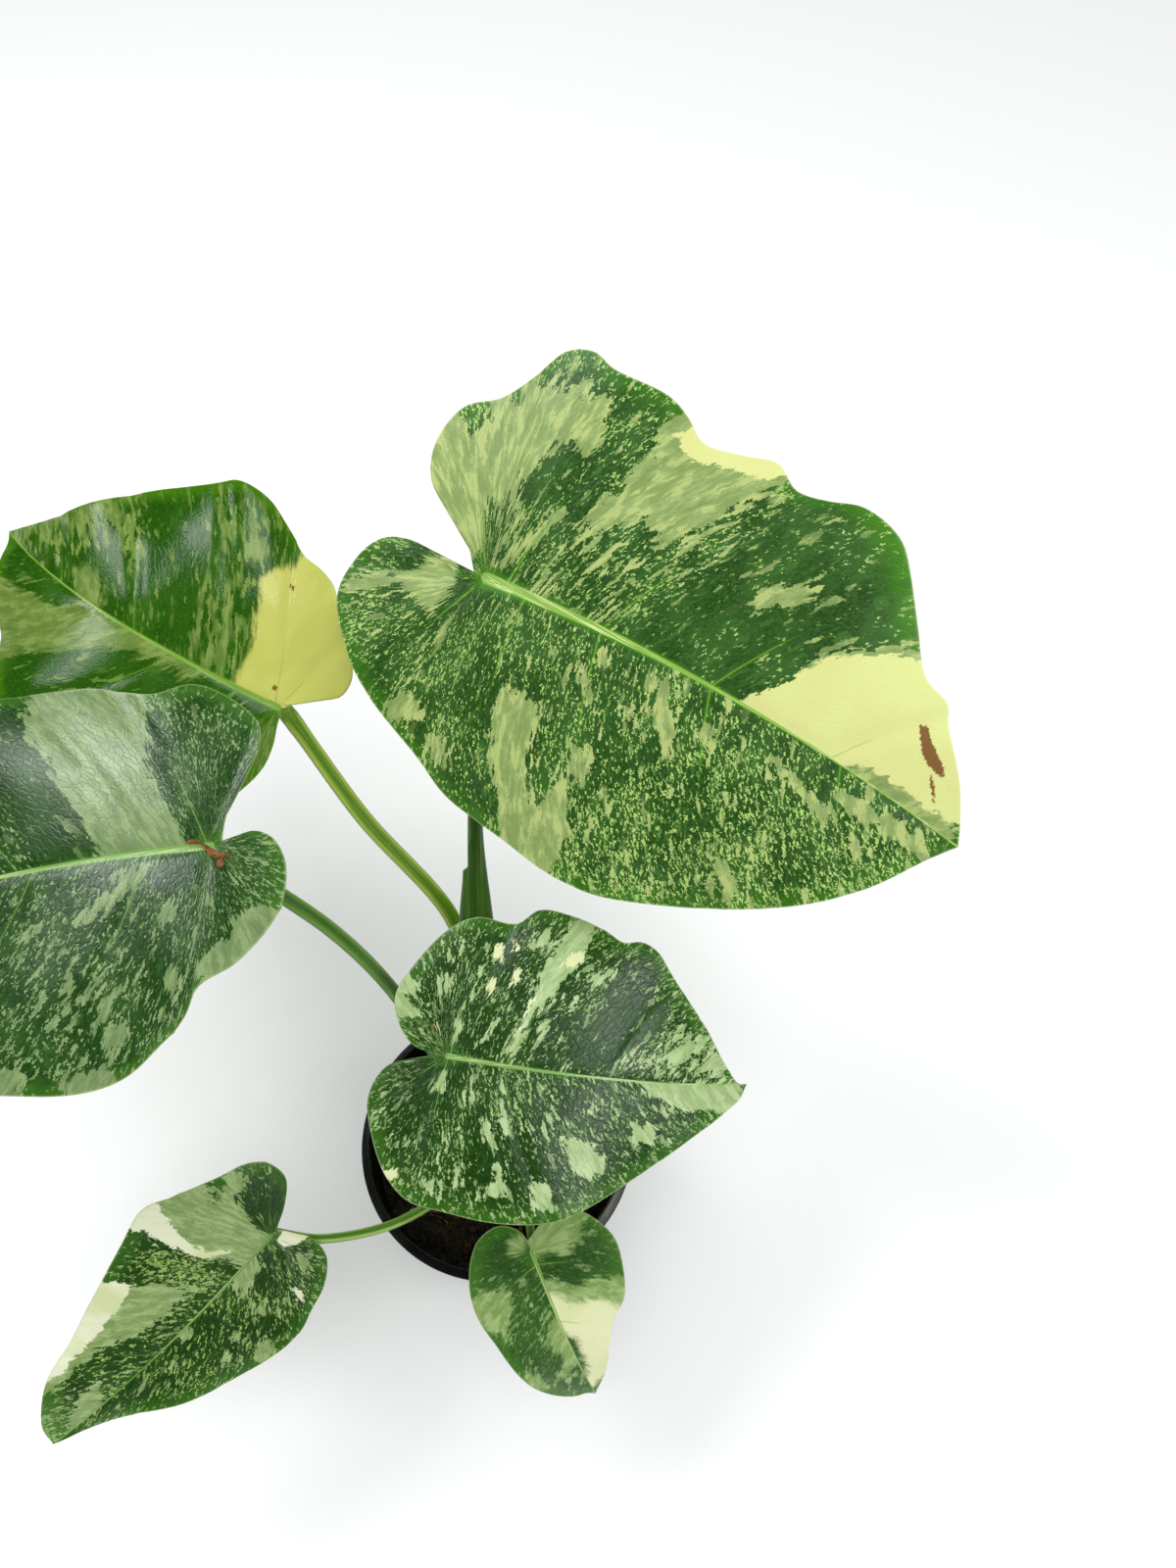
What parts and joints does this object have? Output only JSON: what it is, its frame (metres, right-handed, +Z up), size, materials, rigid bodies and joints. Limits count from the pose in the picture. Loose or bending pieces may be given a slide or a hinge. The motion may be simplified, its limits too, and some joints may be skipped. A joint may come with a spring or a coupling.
{
  "type": "potted double platinum monstera",
  "caption": "Young aroid house plant with undivided heart-shaped leaves marbled dark green, mint and cream on long petioles, rooted in soil in a round black nursery pot.",
  "frame": {"origin": "centre of the underside of the pot, on the surface that it stands on", "axes": "+Z up along the pot's axis; -Y towards the front, where the smallest leaf hangs over the rim; +X to the right seen from the front"},
  "size_m": [0.4391, 0.3718, 0.3615],
  "materials": {
    "pot_plastic": "black injection-moulded polypropylene with a soft sheen",
    "soil": "loose dark aroid mix with bark chips",
    "stem": "living green rootstock with old sheath scars",
    "petiole": "living smooth green stalk, streaked paler",
    "leaf": "living satin leaf, marbled dark green, mint and cream"
  },
  "bodies": {
    "root": {"pot": "pot_plastic", "soil": "soil", "stem": "stem", "petiole_a": "petiole", "blade_a": "leaf", "petiole_b": "petiole", "blade_b": "leaf", "petiole_c": "petiole", "blade_c": "leaf", "petiole_d": "petiole", "blade_d": "leaf", "petiole_e": "petiole", "blade_e": "leaf", "petiole_f": "petiole", "blade_f": "leaf"}
  },
  "joints": []
}
